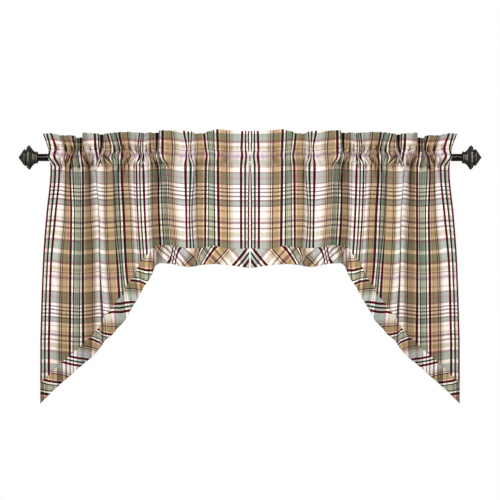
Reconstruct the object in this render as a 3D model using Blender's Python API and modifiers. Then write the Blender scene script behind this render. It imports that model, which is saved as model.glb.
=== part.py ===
"""Window valance: a pair of gathered swag panels on a rod with faceted finials.

Each panel is one length of plaid cotton.  Its top is turned to the back and
stitched twice, which makes a standing ruffle and a pocket for the rod, and its
lower edge is cut on a slant and finished with two bias bands.  The right panel
is the mirror of the left one.

The origin is the middle of the rod's axis.  +X runs along the rod, -Y is the
room side, and +Z is up.  All sizes are millimetres; the meshes are in metres.
"""

import math

import bmesh
import bpy
import numpy as np

OBJECT_NAME = "Window_valance"
METRE = 0.001

# Rod and finials
ROD_DIAMETER = 25.0
ROD_LENGTH = 1440.0
ROD_SIDES = 32
FINIAL_SIDES = 8
FIT_GAP = 0.3

# Profiles of the finial's three pieces: distance out from the rod's end, and
# the distance from the axis to the middle of each flat side.
FINIAL_COLUMNS = ("out", "flat")
NECK_PROFILE = ((0.3, 14.5), (2.0, 18.5), (4.0, 21.0), (5.5, 21.0))
BODY_PROFILE = (
    (5.8, 18.5), (11.0, 20.5), (17.5, 25.0), (23.5, 32.0), (29.5, 41.0),
    (32.0, 40.0), (37.5, 34.0), (39.0, 25.5),
)
TIP_PROFILE = ((39.3, 25.5), (45.5, 29.0), (50.0, 24.0), (60.0, 10.0))
TIP_POINT = 68.0

# Cloth
CLOTH_THICKNESS = 1.2
LAYER_PITCH = 2.4
ROD_HUG_RADIUS = 14.2
SEAM_GAP = 0.9
COLUMN_WIDTH = 28.0
CORNER_CLOTH = 530.0

# Heights of the lines across the cloth
HEADER_TOP_LEVEL = 83.0
HEADER_SEAM = 27.0
POCKET_SEAM = -32.0
BACK_HEM = -42.0
HIGH_LEVEL = -195.0
LOW_LEVEL = -365.0
HEM_LEVEL = -620.0

# How much of each wave's depth is left where the cloth is held or has relaxed
SEAM_WAVE = 0.6
POCKET_SEAM_WAVE = 0.6
POCKET_SEAM_SHIFT = -8.0
HEM_WAVE = 0.85
BACK_NEAR = ROD_HUG_RADIUS
BACK_SPREAD = 0.7

# The folds, from the outer side edge to the middle of the valance, a row for
# each ridge, hollow or foot of a steep flank.  "cloth" is measured across the
# flat cloth, the five x columns are distances from the middle of the rod at
# the five levels, "top" is the height of the ruffle, and the last three are
# depths, negative to the room side: of the ruffle, over the rod, and hanging.
FOLD_COLUMNS = (
    "cloth", "top_x", "pocket_x", "high_x", "low_x", "hem_x",
    "top", "header_y", "pocket_y", "hang_y",
)
FOLDS = (
    (0, 705, 678, 693, 706, 714, 80, 2, -15, 20),
    (28, 677, 649, 664, 679, 686, 82, -8, -26, 17),
    (71, 643, 626, 629, 641, 645, 75, -2, -14, 2),
    (104, 609, 612, 607, 610, 612, 76, 6, -24, -20),
    (139, 586, 575, 573, 575, 578, 66, 16, -34, -28),
    (184, 558, 547, 540, 534, 532, 83, -14, -24, -6),
    (227, 526, 525, 513, 508, 498, 81, -10, -14, 30),
    (260, 513, 512, 503, 496, 483, 79, 10, -20, 4),
    (295, 505, 488, 483, 477, 462, 78, 12, -30, -26),
    (329, 488, 464, 457, 449, 435, 80, -2, -28, -36),
    (372, 449, 437, 428, 421, 401, 86, -2, -14, -14),
    (409, 413, 410, 400, 392, 371, 86, -10, -26, -26),
    (451, 375, 384, 379, 367, 340, 84, -12, -36, -44),
    (477, 360, 358, 354, 346, 320, 84, -3, -30, -42),
    (522, 342, 337, 335, 323, 299, 85, 2, -26, -10),
    (553, 314, 316, 309, 300, 279, 85, 14, -14, 8),
    (588, 301, 285, 279, 268, 252, 92, -4, -28, 18),
    (633, 264, 263, 257, 243, 228, 90, -9, -30, -14),
    (676, 223, 218, 215, 213, 204, 90, -9, -34, -22),
    (701, 199, 190, 198, 188, 180, 88, -6, -28, -4),
    (744, 182, 183, 181, 172, 167, 82, 12, -14, 32),
    (778, 158, 150, 152, 153, 150, 84, 7, -22, 16),
    (824, 110, 108, 106, 104, 102, 95, -9, -30, 0),
    (865, 65, 65, 64, 63, 61, 91, -9, -30, -8),
    (900, 24, 30, 30, 29, 27, 90, -4, -30, -4),
    (928, 3, 3, 3, 3, 3, 90, 2, -15, 10),
)

# Lower edge of the panel, where the bands are sewn on, and of the bands
EDGE_COLUMNS = ("cloth", "panel_z", "band_z")
EDGES = (
    (0, -763, -838), (35, -736, -802), (70, -702, -773), (140, -643, -711),
    (210, -572, -648), (280, -527, -607), (330, -478, -568), (380, -425, -509),
    (430, -371, -461), (480, -328, -412), (520, -303, -368), (545, -298, -359),
    (600, -299, -362), (680, -309, -372), (750, -308, -366), (810, -300, -362),
    (860, -311, -366), (928, -309, -376),
)

# Rows of the mesh down the cloth
POCKET_ROWS = (12.0, 6.0, 0.0, -6.0, -12.0)
RUFFLE_SHARES = (0.0, 0.5, 1.0)
PANEL_HANG_ROWS = 9
BAND_ROWS = 3

# Base colour, roughness and metallic value of each finish
MATERIALS = {
    "plaid_cotton": ((0.52, 0.46, 0.36), 0.9, 0.0),
    "plaid_bias_band": ((0.46, 0.36, 0.27), 0.9, 0.0),
    "dark_bronze_rod": ((0.03, 0.025, 0.024), 0.35, 0.9),
    "pewter_finial": ((0.09, 0.09, 0.08), 0.45, 0.8),
}


def columns(names, rows):
    """Turn a table into a dictionary with an array for each named column."""
    return {name: np.array(values, float) for name, values in zip(names, zip(*rows))}


FOLD = columns(FOLD_COLUMNS, FOLDS)
EDGE = columns(EDGE_COLUMNS, EDGES)


def smooth(knots, values, at):
    """Read a smooth curve through values at knots, which never overshoots.

    values has a row for each knot and either one column or one for each reading.
    """
    knots = np.asarray(knots, float)
    at = np.clip(np.asarray(at, float), knots[0], knots[-1])
    values = np.broadcast_to(values, (len(knots), at.size))
    step = np.diff(knots)[:, None]
    secant = np.diff(values, axis=0) / step
    before, after = secant[:-1], secant[1:]
    same_way = before * after > 0
    total = np.where(same_way, before + after, 1.0)
    inner = np.where(same_way, 2 * before * after / total, 0.0)
    slope = np.vstack([secant[:1], inner, secant[-1:]])
    low = np.clip(np.searchsorted(knots, at, side="right") - 1, 0, len(knots) - 2)
    pick = np.arange(at.size)
    width = step[low, 0]
    t = (at - knots[low]) / width
    return (
        (1 + 2 * t) * (1 - t) ** 2 * values[low, pick]
        + t * (1 - t) ** 2 * width * slope[low, pick]
        + t * t * (3 - 2 * t) * values[low + 1, pick]
        + t * t * (t - 1) * width * slope[low + 1, pick]
    )


def fold_value(name, cloth):
    """Read one column of the fold table at places across the flat cloth."""
    return smooth(FOLD["cloth"], FOLD[name][:, None], cloth)


def edge_value(name, cloth):
    """Read a height of the lower edges at places across the flat cloth."""
    return np.interp(cloth, EDGE["cloth"], EDGE[name])


def sideways(cloth, height):
    """Distance from the middle of the rod at which the cloth hangs."""
    levels = (HEM_LEVEL, LOW_LEVEL, HIGH_LEVEL, POCKET_SEAM, HEADER_TOP_LEVEL)
    names = ("hem_x", "low_x", "high_x", "pocket_x", "top_x")
    return smooth(levels, np.array([fold_value(name, cloth) for name in names]), height)


def rod_reach(height):
    """Depth at which the cloth lies on the rod at a height, 0 above and below it."""
    return np.sqrt(np.maximum(ROD_HUG_RADIUS**2 - np.asarray(height, float) ** 2, 0.0))


def front_depth(cloth, height):
    """Depth of the layer on the room side of the rod, and of what hangs below."""
    header = fold_value("header_y", cloth)
    hang = fold_value("hang_y", cloth)
    levels = (HEM_LEVEL, HIGH_LEVEL, POCKET_SEAM, 0.0, HEADER_SEAM, HEADER_TOP_LEVEL)
    depths = np.array([
        HEM_WAVE * hang,
        hang,
        POCKET_SEAM_WAVE * hang + POCKET_SEAM_SHIFT,
        fold_value("pocket_y", cloth),
        SEAM_WAVE * header,
        header,
    ])
    depth = smooth(levels, depths, height)
    reach = rod_reach(height)
    return np.where(reach > 0, np.minimum(depth, -reach), depth)


def back_depth(cloth, height):
    """Depth of the layer behind the rod, which is slack where the front is tight."""
    header = SEAM_WAVE * fold_value("header_y", cloth)
    seam = POCKET_SEAM_WAVE * fold_value("hang_y", cloth) + POCKET_SEAM_SHIFT
    front = fold_value("pocket_y", cloth)
    behind = BACK_NEAR + BACK_SPREAD * (front - front.min())
    depth = smooth((POCKET_SEAM, 0.0, HEADER_SEAM), np.array([seam, behind, header]), height)
    return np.maximum(depth, rod_reach(height))


def backwards(cloth, height):
    """Level direction that points out of the back of the cloth, as (x, y)."""
    step = 5.0
    run = sideways(cloth + step, height) - sideways(cloth - step, height)
    rise = front_depth(cloth + step, height) - front_depth(cloth - step, height)
    length = np.hypot(run, rise)
    return rise / length, -run / length


def front_point(cloth, height, set_off=0.0):
    """Point of the front layer, set off towards the back by a distance."""
    normal_x, normal_y = backwards(cloth, height)
    x = sideways(cloth, height) + set_off * normal_x
    y = front_depth(cloth, height) + set_off * normal_y
    return x, y, height


def pocket_back_point(cloth, height):
    """Point of the layer behind the rod, between the pocket's two seams."""
    return sideways(cloth, height), back_depth(cloth, height), height


def ruffle_height(cloth, share):
    """Height between the header seam (0) and the start of the top fold (1)."""
    top = fold_value("top", cloth) - LAYER_PITCH / 2
    return HEADER_SEAM + share * (top - HEADER_SEAM)


def panel_rows(cloth):
    """The panel's path at each place across the cloth: back hem, over, and down."""
    level = np.ones_like(cloth)
    rows = [front_point(cloth, z * level, LAYER_PITCH) for z in (BACK_HEM, POCKET_SEAM)]
    rows += [pocket_back_point(cloth, z * level) for z in POCKET_ROWS[::-1]]
    rows += [
        front_point(cloth, ruffle_height(cloth, share), LAYER_PITCH)
        for share in RUFFLE_SHARES
    ]
    radius = LAYER_PITCH / 2
    for angle in (135.0, 90.0, 45.0):
        x, y, z = front_point(
            cloth, ruffle_height(cloth, 1.0), radius * (1 - math.cos(math.radians(angle)))
        )
        rows.append((x, y, z + radius * math.sin(math.radians(angle))))
    rows += [
        front_point(cloth, ruffle_height(cloth, share)) for share in RUFFLE_SHARES[::-1]
    ]
    rows += [front_point(cloth, z * level) for z in (*POCKET_ROWS, POCKET_SEAM)]
    lower = edge_value("panel_z", cloth)
    for share in np.linspace(0.0, 1.0, PANEL_HANG_ROWS):
        rows.append(front_point(cloth, BACK_HEM + share * (lower - BACK_HEM)))
    return rows


def band_rows(cloth):
    """A band's path from just below the panel's edge to its own lower edge."""
    upper = edge_value("panel_z", cloth) - SEAM_GAP
    lower = edge_value("band_z", cloth)
    return [
        front_point(cloth, upper + share * (lower - upper))
        for share in np.linspace(0.0, 1.0, BAND_ROWS)
    ]


def cloth_columns(start, end):
    """Places across the cloth, close enough to follow every fold."""
    marks = sorted(set(FOLD["cloth"]) | {CORNER_CLOTH})
    marks = [start] + [mark for mark in marks if start < mark < end] + [end]
    places = [marks[0]]
    for left, right in zip(marks, marks[1:]):
        count = math.ceil((right - left) / COLUMN_WIDTH)
        places += [left + (right - left) * i / count for i in range(1, count + 1)]
    return np.array(places)


def material(name):
    """Make a plain Principled material."""
    made = bpy.data.materials.new(name)
    made.use_nodes = True
    colour, roughness, metallic = MATERIALS[name]
    shader = made.node_tree.nodes["Principled BSDF"]
    shader.inputs["Base Color"].default_value = (*colour, 1.0)
    shader.inputs["Roughness"].default_value = roughness
    shader.inputs["Metallic"].default_value = metallic
    return made


def add_object(name, mesh, finish, collection):
    """Put a mesh in the collection as a named object with a finish."""
    made = bpy.data.objects.new(name, mesh)
    collection.objects.link(made)
    mesh.materials.append(finish)
    mesh.shade_smooth()
    return made


def add_cloth(name, places, rows, side, finish, collection):
    """Bend a grid to the rows' points and thicken it into a sheet."""
    points = np.array([np.stack(row, axis=1) for row in rows]) * METRE
    last_column, last_row = len(places) - 1, len(rows) - 1
    grid = bmesh.new()
    bmesh.ops.create_grid(grid, x_segments=last_column, y_segments=last_row, size=1.0)
    for vertex in grid.verts:
        column = round((vertex.co.x + 1) / 2 * last_column)
        row = round((vertex.co.y + 1) / 2 * last_row)
        x, y, z = points[row, column]
        vertex.co = (side * x, y, z)
    mesh = bpy.data.meshes.new(name)
    grid.to_mesh(mesh)
    grid.free()
    made = add_object(name, mesh, finish, collection)
    thicken = made.modifiers.new("Thickness", "SOLIDIFY")
    thicken.thickness = CLOTH_THICKNESS * METRE
    thicken.offset = 0.0
    return made


def add_valance_half(label, side, finishes, collection):
    """Add one panel with its long slanted band and its short level band."""
    across = cloth_columns(FOLD["cloth"][0], FOLD["cloth"][-1])
    add_cloth(
        f"{label}_swag_panel", across, panel_rows(across), side,
        finishes["plaid_cotton"], collection,
    )
    spans = {
        "long_band": (FOLD["cloth"][0], CORNER_CLOTH - SEAM_GAP / 2),
        "short_band": (CORNER_CLOTH + SEAM_GAP / 2, FOLD["cloth"][-1]),
    }
    for piece, (start, end) in spans.items():
        across = cloth_columns(start, end)
        add_cloth(
            f"{label}_{piece}", across, band_rows(across), side,
            finishes["plaid_bias_band"], collection,
        )


def add_rod(finish, collection):
    """Add the rod as a round bar along X."""
    bar = bmesh.new()
    radius = ROD_DIAMETER / 2 * METRE
    bmesh.ops.create_cone(
        bar, cap_ends=True, segments=ROD_SIDES, radius1=radius, radius2=radius,
        depth=ROD_LENGTH * METRE,
    )
    turn = np.array([[0, 0, 1], [0, 1, 0], [-1, 0, 0]], float)
    for vertex in bar.verts:
        vertex.co = turn @ np.array(vertex.co)
    mesh = bpy.data.meshes.new("rod")
    bar.to_mesh(mesh)
    bar.free()
    add_object("rod", mesh, finish, collection)
    mesh.set_sharp_from_angle(angle=math.radians(40))


def add_turned(name, profile, side, finish, collection):
    """Turn a profile about the rod's axis into a piece with flat sides."""
    half_side = math.pi / FINIAL_SIDES
    to_corner = 1 / math.cos(half_side)
    outline = bmesh.new()
    chain = []
    for out, flat in profile:
        radius = flat * to_corner * METRE
        along = side * (ROD_LENGTH / 2 + out) * METRE
        chain.append(outline.verts.new(
            (along, radius * math.sin(half_side), radius * math.cos(half_side))
        ))
    for first, second in zip(chain, chain[1:]):
        outline.edges.new((first, second) if side < 0 else (second, first))
    mesh = bpy.data.meshes.new(name)
    outline.to_mesh(mesh)
    outline.free()
    made = add_object(name, mesh, finish, collection)
    screw = made.modifiers.new("Turn", "SCREW")
    screw.axis = "X"
    screw.steps = screw.render_steps = FINIAL_SIDES
    screw.use_merge_vertices = True
    screw.merge_threshold = 0.0001 * METRE
    screw.use_smooth_shade = False
    return made


def closed(profile):
    """Run a profile in from the axis and back to it, so that its ends are filled."""
    return ((profile[0][0], 0.0), *profile, (profile[-1][0], 0.0))


def add_finial(label, side, finish, collection):
    """Add a finial's neck, body and tip at one end of the rod."""
    add_turned(f"{label}_finial_neck", closed(NECK_PROFILE), side, finish, collection)
    add_turned(f"{label}_finial_body", closed(BODY_PROFILE), side, finish, collection)
    tip = ((TIP_PROFILE[0][0], 0.0), *TIP_PROFILE, (TIP_POINT, 0.0))
    add_turned(f"{label}_finial_tip", tip, side, finish, collection)


def clear_scene():
    """Remove what the scene holds."""
    for old in list(bpy.data.objects):
        bpy.data.objects.remove(old, do_unlink=True)


def main():
    """Build the valance."""
    clear_scene()
    collection = bpy.data.collections.new(OBJECT_NAME)
    bpy.context.scene.collection.children.link(collection)
    finishes = {name: material(name) for name in MATERIALS}
    add_rod(finishes["dark_bronze_rod"], collection)
    for label, side in (("left", -1), ("right", 1)):
        add_finial(label, side, finishes["pewter_finial"], collection)
        add_valance_half(label, side, finishes, collection)


main()
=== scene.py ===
"""Looks of the window valance: two gathered plaid panels on a rod with faceted finials.

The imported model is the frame.  Sizes are millimetres unless a name says otherwise.
Each half of the valance is described once, for the right-hand side, with x measured
from the middle of the rod; the left half is its mirror.  -Y is the room side and +Z
is up.  Meshes are written in metres.
"""

from __future__ import annotations

import logging
import math
from dataclasses import dataclass, field
from enum import Enum
from typing import NamedTuple, Sequence, Union

import bmesh
import bpy
import numpy as np
from mathutils import Matrix, Vector

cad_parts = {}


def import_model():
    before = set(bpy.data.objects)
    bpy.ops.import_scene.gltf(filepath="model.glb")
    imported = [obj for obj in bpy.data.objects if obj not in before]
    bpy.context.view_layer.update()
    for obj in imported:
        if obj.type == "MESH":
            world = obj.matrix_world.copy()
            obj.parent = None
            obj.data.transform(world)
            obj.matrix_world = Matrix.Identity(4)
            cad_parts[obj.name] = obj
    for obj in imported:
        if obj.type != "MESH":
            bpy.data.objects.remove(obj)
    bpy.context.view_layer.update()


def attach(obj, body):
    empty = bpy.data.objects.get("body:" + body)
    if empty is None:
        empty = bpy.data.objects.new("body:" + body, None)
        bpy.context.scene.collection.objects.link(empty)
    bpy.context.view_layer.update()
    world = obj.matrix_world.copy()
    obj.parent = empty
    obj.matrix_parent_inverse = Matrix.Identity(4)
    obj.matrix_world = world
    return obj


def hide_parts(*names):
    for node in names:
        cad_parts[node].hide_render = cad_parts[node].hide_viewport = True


LOG = logging.getLogger("valance")
METRE = 0.001
BODY = "root"
CLOTH_MAP = "WovenCloth"

# Gathers never repeat exactly: over DRIFT_LENGTH of their wavelengths they move to and
# fro, and over SWELL_LENGTH they grow taller and lower.  The drifts are angles, the
# swells shares of the height, and SWELL_LEAD times the gathers' phase is the swell's.
DRIFT_LENGTH = 5.3
SWELL_LENGTH = 3.1
SWELL_LEAD = 2.3
RIPPLE_DRIFT = 1.4
RIPPLE_SWELL = 0.28
PLEAT_DRIFT = 0.9
PLEAT_SWELL = 0.35

Array = np.ndarray
Place = tuple[float, float, float]
NodeValue = Union[float, str, Sequence[float], bpy.types.NodeSocket]


# ---------------------------------------------------------------------------
# Names and tables
# ---------------------------------------------------------------------------

class Side(Enum):
    """The two mirrored halves of the valance."""

    LEFT = -1
    RIGHT = 1

    @property
    def label(self) -> str:
        """Word that starts the names of this half's pieces."""
        return self.name.lower()


class Yarn(Enum):
    """Warp yarns of the plaid, as sRGB colours of the washed cotton."""

    WHITE = "#FFF6EC"
    CREAM = "#E9E3DF"
    BLUSH = "#DDCDC2"
    STRAW = "#CABEA5"
    STONE = "#867971"
    SHELL = "#DCB9A4"
    TAN = "#AB946F"
    MAROON = "#5D071D"
    WINE = "#5D2327"
    LEAF = "#23371D"
    PINE = "#161813"
    SAGE = "#8B8B7A"
    PALE_SAGE = "#ABAE99"


class Shot(Enum):
    """Weft yarns, as the sRGB tint that each lays over the warp it crosses."""

    WHITE = "#FFFFFF"
    CREAM = "#FFF8F3"
    OYSTER = "#F2F2EC"
    PEARL = "#EBE4E3"
    BLUSH = "#DCD1CF"
    LINEN = "#CFCDC5"
    LICHEN = "#CFCDBF"
    GREY = "#AFB8B5"
    SLATE = "#A8B6AF"
    HEATHER = "#B5A6AC"
    ROSE = "#A9979D"
    VIOLET = "#C4B3C5"
    PLUM = "#978A8F"
    UMBER = "#9F9896"


class Stripe(NamedTuple):
    """One stripe of the plaid."""

    width: float
    yarn: Yarn | Shot


class Fold(NamedTuple):
    """One ridge, hollow or foot of a flank of the gathered cloth.

    cloth is measured across the flat cloth from the outer side edge.  The seven x
    columns are distances from the middle of the rod at seven levels, top is the height
    of the ruffle, the next three are depths of the ruffle, over the rod and hanging,
    negative to the room side, and dip is how far the weft is pulled up there.
    """

    cloth: float
    top_x: float
    seam_x: float
    rod_x: float
    pocket_x: float
    high_x: float
    low_x: float
    hem_x: float
    top: float
    header_y: float
    pocket_y: float
    hang_y: float
    dip: float


class Edge(NamedTuple):
    """Heights of the panel's lower edge and the band's, at a place on the cloth."""

    cloth: float
    panel_z: float
    band_z: float


class Crease(NamedTuple):
    """A groove pressed into the cloth, or a ridge where the depth is negative.

    cloth and height are those of its middle, and lean is how far across the cloth its
    lower end lies beyond its upper end.
    """

    cloth: float
    height: float
    length: float
    width: float
    depth: float
    lean: float = 0.0

    def at(self, cloth: Array, height: Array) -> Array:
        """Read the groove.

        Args:
            cloth: Places across the flat cloth.
            height: Heights of the same points.

        Returns:
            Its depth at each point.
        """
        along = (height - self.height) / (self.length / 2)
        across = cloth - self.cloth + self.lean * along / 2
        fade = np.where(np.abs(along) < 1, np.cos(math.pi / 2 * along) ** 2, 0.0)
        return self.depth * fade * bell(across, self.width)


class Sag(NamedTuple):
    """How much farther down the woven cloth a height lies than its drop alone gives."""

    height: float
    down: float


class EdgeRow(NamedTuple):
    """A row of points by an edge: how far above it, and how far tucked to the back."""

    rise: float
    tuck: float


class BiasMark(NamedTuple):
    """Where a place along a band's edge lies on the woven cloth."""

    cloth: float
    warp: float
    weft: float


# Half a repeat of the warp, from the middle of the green line to the middle of the
# sage stripe.  The other half is its mirror.
WARP_STRIPES = (
    Stripe(3.0, Yarn.LEAF), Stripe(6.0, Yarn.WHITE), Stripe(8.2, Yarn.MAROON),
    Stripe(3.6, Yarn.WHITE), Stripe(17.61, Yarn.CREAM), Stripe(5.44, Yarn.BLUSH),
    Stripe(7.0, Yarn.STRAW), Stripe(4.0, Yarn.STONE), Stripe(3.1, Yarn.BLUSH),
    Stripe(4.2, Yarn.WINE), Stripe(19.2, Yarn.TAN), Stripe(4.0, Yarn.SHELL),
    Stripe(4.2, Yarn.MAROON), Stripe(4.2, Yarn.PINE), Stripe(5.0, Yarn.WHITE),
    Stripe(4.4, Yarn.LEAF), Stripe(3.0, Yarn.PALE_SAGE), Stripe(3.2, Yarn.SAGE),
    Stripe(2.85, Yarn.PALE_SAGE),
)

# A whole repeat of the weft, from the top fold of the ruffle down
WEFT_STRIPES = (
    Stripe(7.1, Shot.CREAM), Stripe(23.1, Shot.SLATE), Stripe(8.5, Shot.ROSE),
    Stripe(10.2, Shot.CREAM), Stripe(12.2, Shot.LICHEN), Stripe(3.4, Shot.CREAM),
    Stripe(4.8, Shot.HEATHER), Stripe(11.9, Shot.PEARL), Stripe(11.2, Shot.VIOLET),
    Stripe(6.1, Shot.PEARL), Stripe(17.0, Shot.OYSTER), Stripe(8.8, Shot.BLUSH),
    Stripe(13.3, Shot.CREAM), Stripe(5.1, Shot.ROSE), Stripe(13.6, Shot.GREY),
    Stripe(6.8, Shot.HEATHER), Stripe(15.6, Shot.GREY), Stripe(4.8, Shot.ROSE),
    Stripe(8.2, Shot.WHITE), Stripe(5.4, Shot.PLUM), Stripe(8.2, Shot.WHITE),
    Stripe(5.4, Shot.PLUM), Stripe(7.8, Shot.WHITE), Stripe(5.4, Shot.PLUM),
    Stripe(8.9, Shot.WHITE), Stripe(5.4, Shot.PLUM), Stripe(13.5, Shot.GREY),
    Stripe(4.8, Shot.PLUM), Stripe(12.8, Shot.CREAM), Stripe(6.8, Shot.LINEN),
    Stripe(17.0, Shot.CREAM), Stripe(9.5, Shot.LINEN), Stripe(2.4, Shot.CREAM),
    Stripe(10.0, Shot.ROSE), Stripe(11.9, Shot.CREAM), Stripe(5.4, Shot.UMBER),
    Stripe(9.5, Shot.CREAM), Stripe(18.0, Shot.LICHEN), Stripe(10.4, Shot.CREAM),
    Stripe(9.4, Shot.ROSE), Stripe(24.8, Shot.SLATE), Stripe(4.3, Shot.CREAM),
)

# From the panel's outer side edge to the middle of its first green line
WARP_START = 15.3

# From the outer side edge of the panel to its inner side edge
FOLDS = (
    Fold(0, 705, 685, 681, 679, 695, 707, 715, 80, 2, -15, 20, 8),
    Fold(10, 696, 684, 686, 669, 684, 697, 705, 81, -3, -20, 19, 8),
    Fold(28, 677, 661, 663, 649, 664, 679, 686, 82, -8, -26, 17, 8.5),
    Fold(75, 641, 624, 622, 624, 627, 639, 643, 75, -2, -20, 2, 4),
    Fold(104, 607, 598, 600, 612, 607, 610, 612, 76, 4, -24, -20, 2),
    Fold(139, 585, 583, 583, 575, 573, 575, 578, 66, 16, -34, -28, 0),
    Fold(145, 582, 581, 575, 571, 570.5, 571.5, 571, 69, 28, -32, -25, 0.6),
    Fold(155, 572, 575, 567, 563, 562.5, 563, 561, 71, 37, -31, -18, 1.4),
    Fold(180, 568, 566, 549, 549, 542, 536, 534, 84, -16, -24, 14, 4),
    Fold(200, 556, 553, 532, 537, 527, 523, 518, 83, -14, -23, 6, 7),
    Fold(219, 534, 533, 521, 524, 514.5, 512, 505, 82, -12, -20, -20, 8),
    Fold(240, 515, 514, 511, 523, 512, 509, 499, 81, -14, -8, -8, 7.5),
    Fold(249, 511, 510, 508, 522, 511.5, 507.5, 495, 80, 14, -14, -13, 6.3),
    Fold(258, 502, 504, 505, 521, 511, 506.2, 490, 79, 36, -20, -18, 5.2),
    Fold(299, 497, 490, 496, 487, 486, 479, 456, 78, -10, -30, -30, 1.7),
    Fold(321, 491, 478, 482, 468, 461.5, 456, 442, 81, -8, -28, -38, 3),
    Fold(343, 473, 462, 464, 464.5, 459, 440, 419, 83, -6, -24, -18, 4.5),
    Fold(361, 458, 447, 446, 450, 443.5, 434, 399, 85, -5, -22, -20, 6),
    Fold(375, 444, 435, 434, 435, 427.5, 420.5, 388, 86, -4, -20, -14, 6.8),
    Fold(404, 415, 411, 407, 412, 404, 396, 370, 86, -12, -26, -26, 6.8),
    Fold(451, 375, 381, 374, 384, 379, 367, 340, 84, -10, -36, -42, 3.4),
    Fold(487, 360, 360, 357, 353, 347.5, 338.5, 314, 84, 16, -30, -42, 5),
    Fold(505, 349, 349, 346, 341, 338, 328.5, 305, 85, 4, -30, -38, 7),
    Fold(522, 340, 339, 338, 333, 332.5, 320.5, 297, 85, -6, -28, -22, 9),
    Fold(548, 324, 323, 322, 318, 316, 305, 282, 84, 8, -18, 10, 11),
    Fold(558, 314, 316, 317, 311, 307, 296, 275, 86, 36, -20, 13, 12),
    Fold(570, 311, 313, 312, 302, 294, 284, 266, 88, 20, -20, 10, 12),
    Fold(588, 307, 308, 306, 285, 279, 268, 252, 92, -8, -28, 0, 12),
    Fold(600, 295, 296, 295, 279, 274, 262, 246, 92, -9, -30, -10, 11),
    Fold(629, 265, 262, 262, 265, 259, 246, 231, 91, -10, -30, -26, 8),
    Fold(676, 223, 214, 215, 218, 215, 213, 204, 90, -10, -34, -22, 2.4),
    Fold(701, 199, 202, 200, 190, 198, 188, 180, 88, -6, -28, -4, 4),
    Fold(748, 183, 180, 180, 184, 182, 173, 168, 82, 16, -20, 24, 8.5),
    Fold(778, 156, 150, 146, 150, 152, 153, 150, 84, 8, -22, 16, 8.5),
    Fold(805, 130, 128, 126, 128, 128, 127, 125, 92, -8, -26, 6, 6),
    Fold(824, 110, 108, 107, 108, 106, 104, 102, 95, -9, -30, 0, 3),
    Fold(865, 65, 65, 65, 65, 64, 63, 61, 91, -9, -30, -8, 0),
    Fold(900, 26, 28, 26, 30, 30, 29, 27, 90, -4, -30, -4, 0),
    Fold(915, 13.5, 13, 11.5, 14, 15, 14.5, 14, 90, -1, -27, 2, 0),
    Fold(922, 8, 7, 1.8, 4.6, 8.5, 8.8, 8.2, 90, 0, -24, 6, 0),
    Fold(928, 3, 2.5, 5, 1.4, 3, 3, 3, 90, 2, -15, 10, 0),
)

# The slanted lower edge, which levels off towards the middle of the valance
EDGES = (
    Edge(0, -763, -838), Edge(35, -736, -802), Edge(70, -702, -773),
    Edge(140, -643, -711), Edge(210, -572, -648), Edge(280, -527, -607),
    Edge(330, -478, -568), Edge(380, -425, -509), Edge(430, -371, -461),
    Edge(480, -328, -412), Edge(520, -303, -368), Edge(545, -298, -359),
    Edge(600, -299, -362), Edge(680, -309, -372), Edge(750, -308, -366),
    Edge(810, -300, -362), Edge(860, -311, -366), Edge(928, -309, -376),
)

# The long side hangs askew, so more of the cloth's length lies above a height there
SAGS = (
    Sag(-726, 27), Sag(-678, 31), Sag(-603, 22), Sag(-539, 5), Sag(-457, -1),
    Sag(-382, -8), Sag(-300, 0),
)

# Creases below the pocket, then those that the header seam and the rod press in
CREASES = (
    Crease(55, -60, 120, 7, 6.0), Crease(188, -62, 170, 11, 13.0),
    Crease(390, -58, 100, 7, 10.0), Crease(480, -60, 110, 6, 6.0),
    Crease(553, -72, 150, 11, 22.0), Crease(744, -62, 120, 8, 7.0),
    Crease(690, -50, 60, 6, 5.0), Crease(170, -50, 70, 6, 8.0),
    Crease(168, -7, 66, 6, 34.0, 32), Crease(315, -7, 58, 6, 32.0, 50),
    Crease(402, -8, 56, 5.5, 32.0, -24), Crease(205, -10, 54, 5, 28.0, -22),
    Crease(526, 8, 50, 4.5, 22.0, 22), Crease(543, 0, 44, 4, 18.0, -12),
    Crease(115, -4, 62, 17, -13.0), Crease(136, -2, 44, 4, 8.0, -12),
    Crease(250, 2, 56, 4.5, 22.0, 10), Crease(280, -16, 48, 5, 28.0, 36),
    Crease(356, 10, 46, 5, 26.0, -20), Crease(424, 14, 42, 5, 24.0, 24),
    Crease(472, 16, 30, 4, 16.0, -12), Crease(604, -30, 40, 5, 6.0),
    Crease(752, -20, 40, 6, 7.0, 8), Crease(822, -24, 30, 5, 5.0),
    Crease(774, 18, 40, 5, 8.0, 24), Crease(712, 2, 36, 5, 7.0, 16),
    Crease(87, 20, 24, 4.0, 6.0, -10), Crease(130, 18, 28, 4.5, 9.0, 10),
    Crease(243, 20, 34, 4.5, 18.0, 12), Crease(345, 20, 30, 4.5, 15.0, -10),
    Crease(392, 20, 28, 4.5, 14.0, 12), Crease(441, 20, 26, 4.5, 16.0, 8),
    Crease(494, 18, 26, 4.5, 14.0, -10), Crease(530, 16, 34, 4.5, 18.0, 14),
    Crease(655, 16, 30, 4.5, 10.0, 10), Crease(736, 18, 30, 4.5, 12.0, -12),
    Crease(804, 14, 34, 4.5, 10.0, 12), Crease(842, 16, 28, 4.5, 8.0, -10),
)


def column(rows: Sequence[NamedTuple], name: str) -> Array:
    """Read one named column of a table as an array."""
    return np.array([getattr(row, name) for row in rows], float)


def between(rows: Sequence[NamedTuple], along: str, name: str, at: Array) -> Array:
    """Read one named column of a table at places between its rows, on straight lines."""
    return np.interp(at, column(rows, along), column(rows, name))


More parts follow.
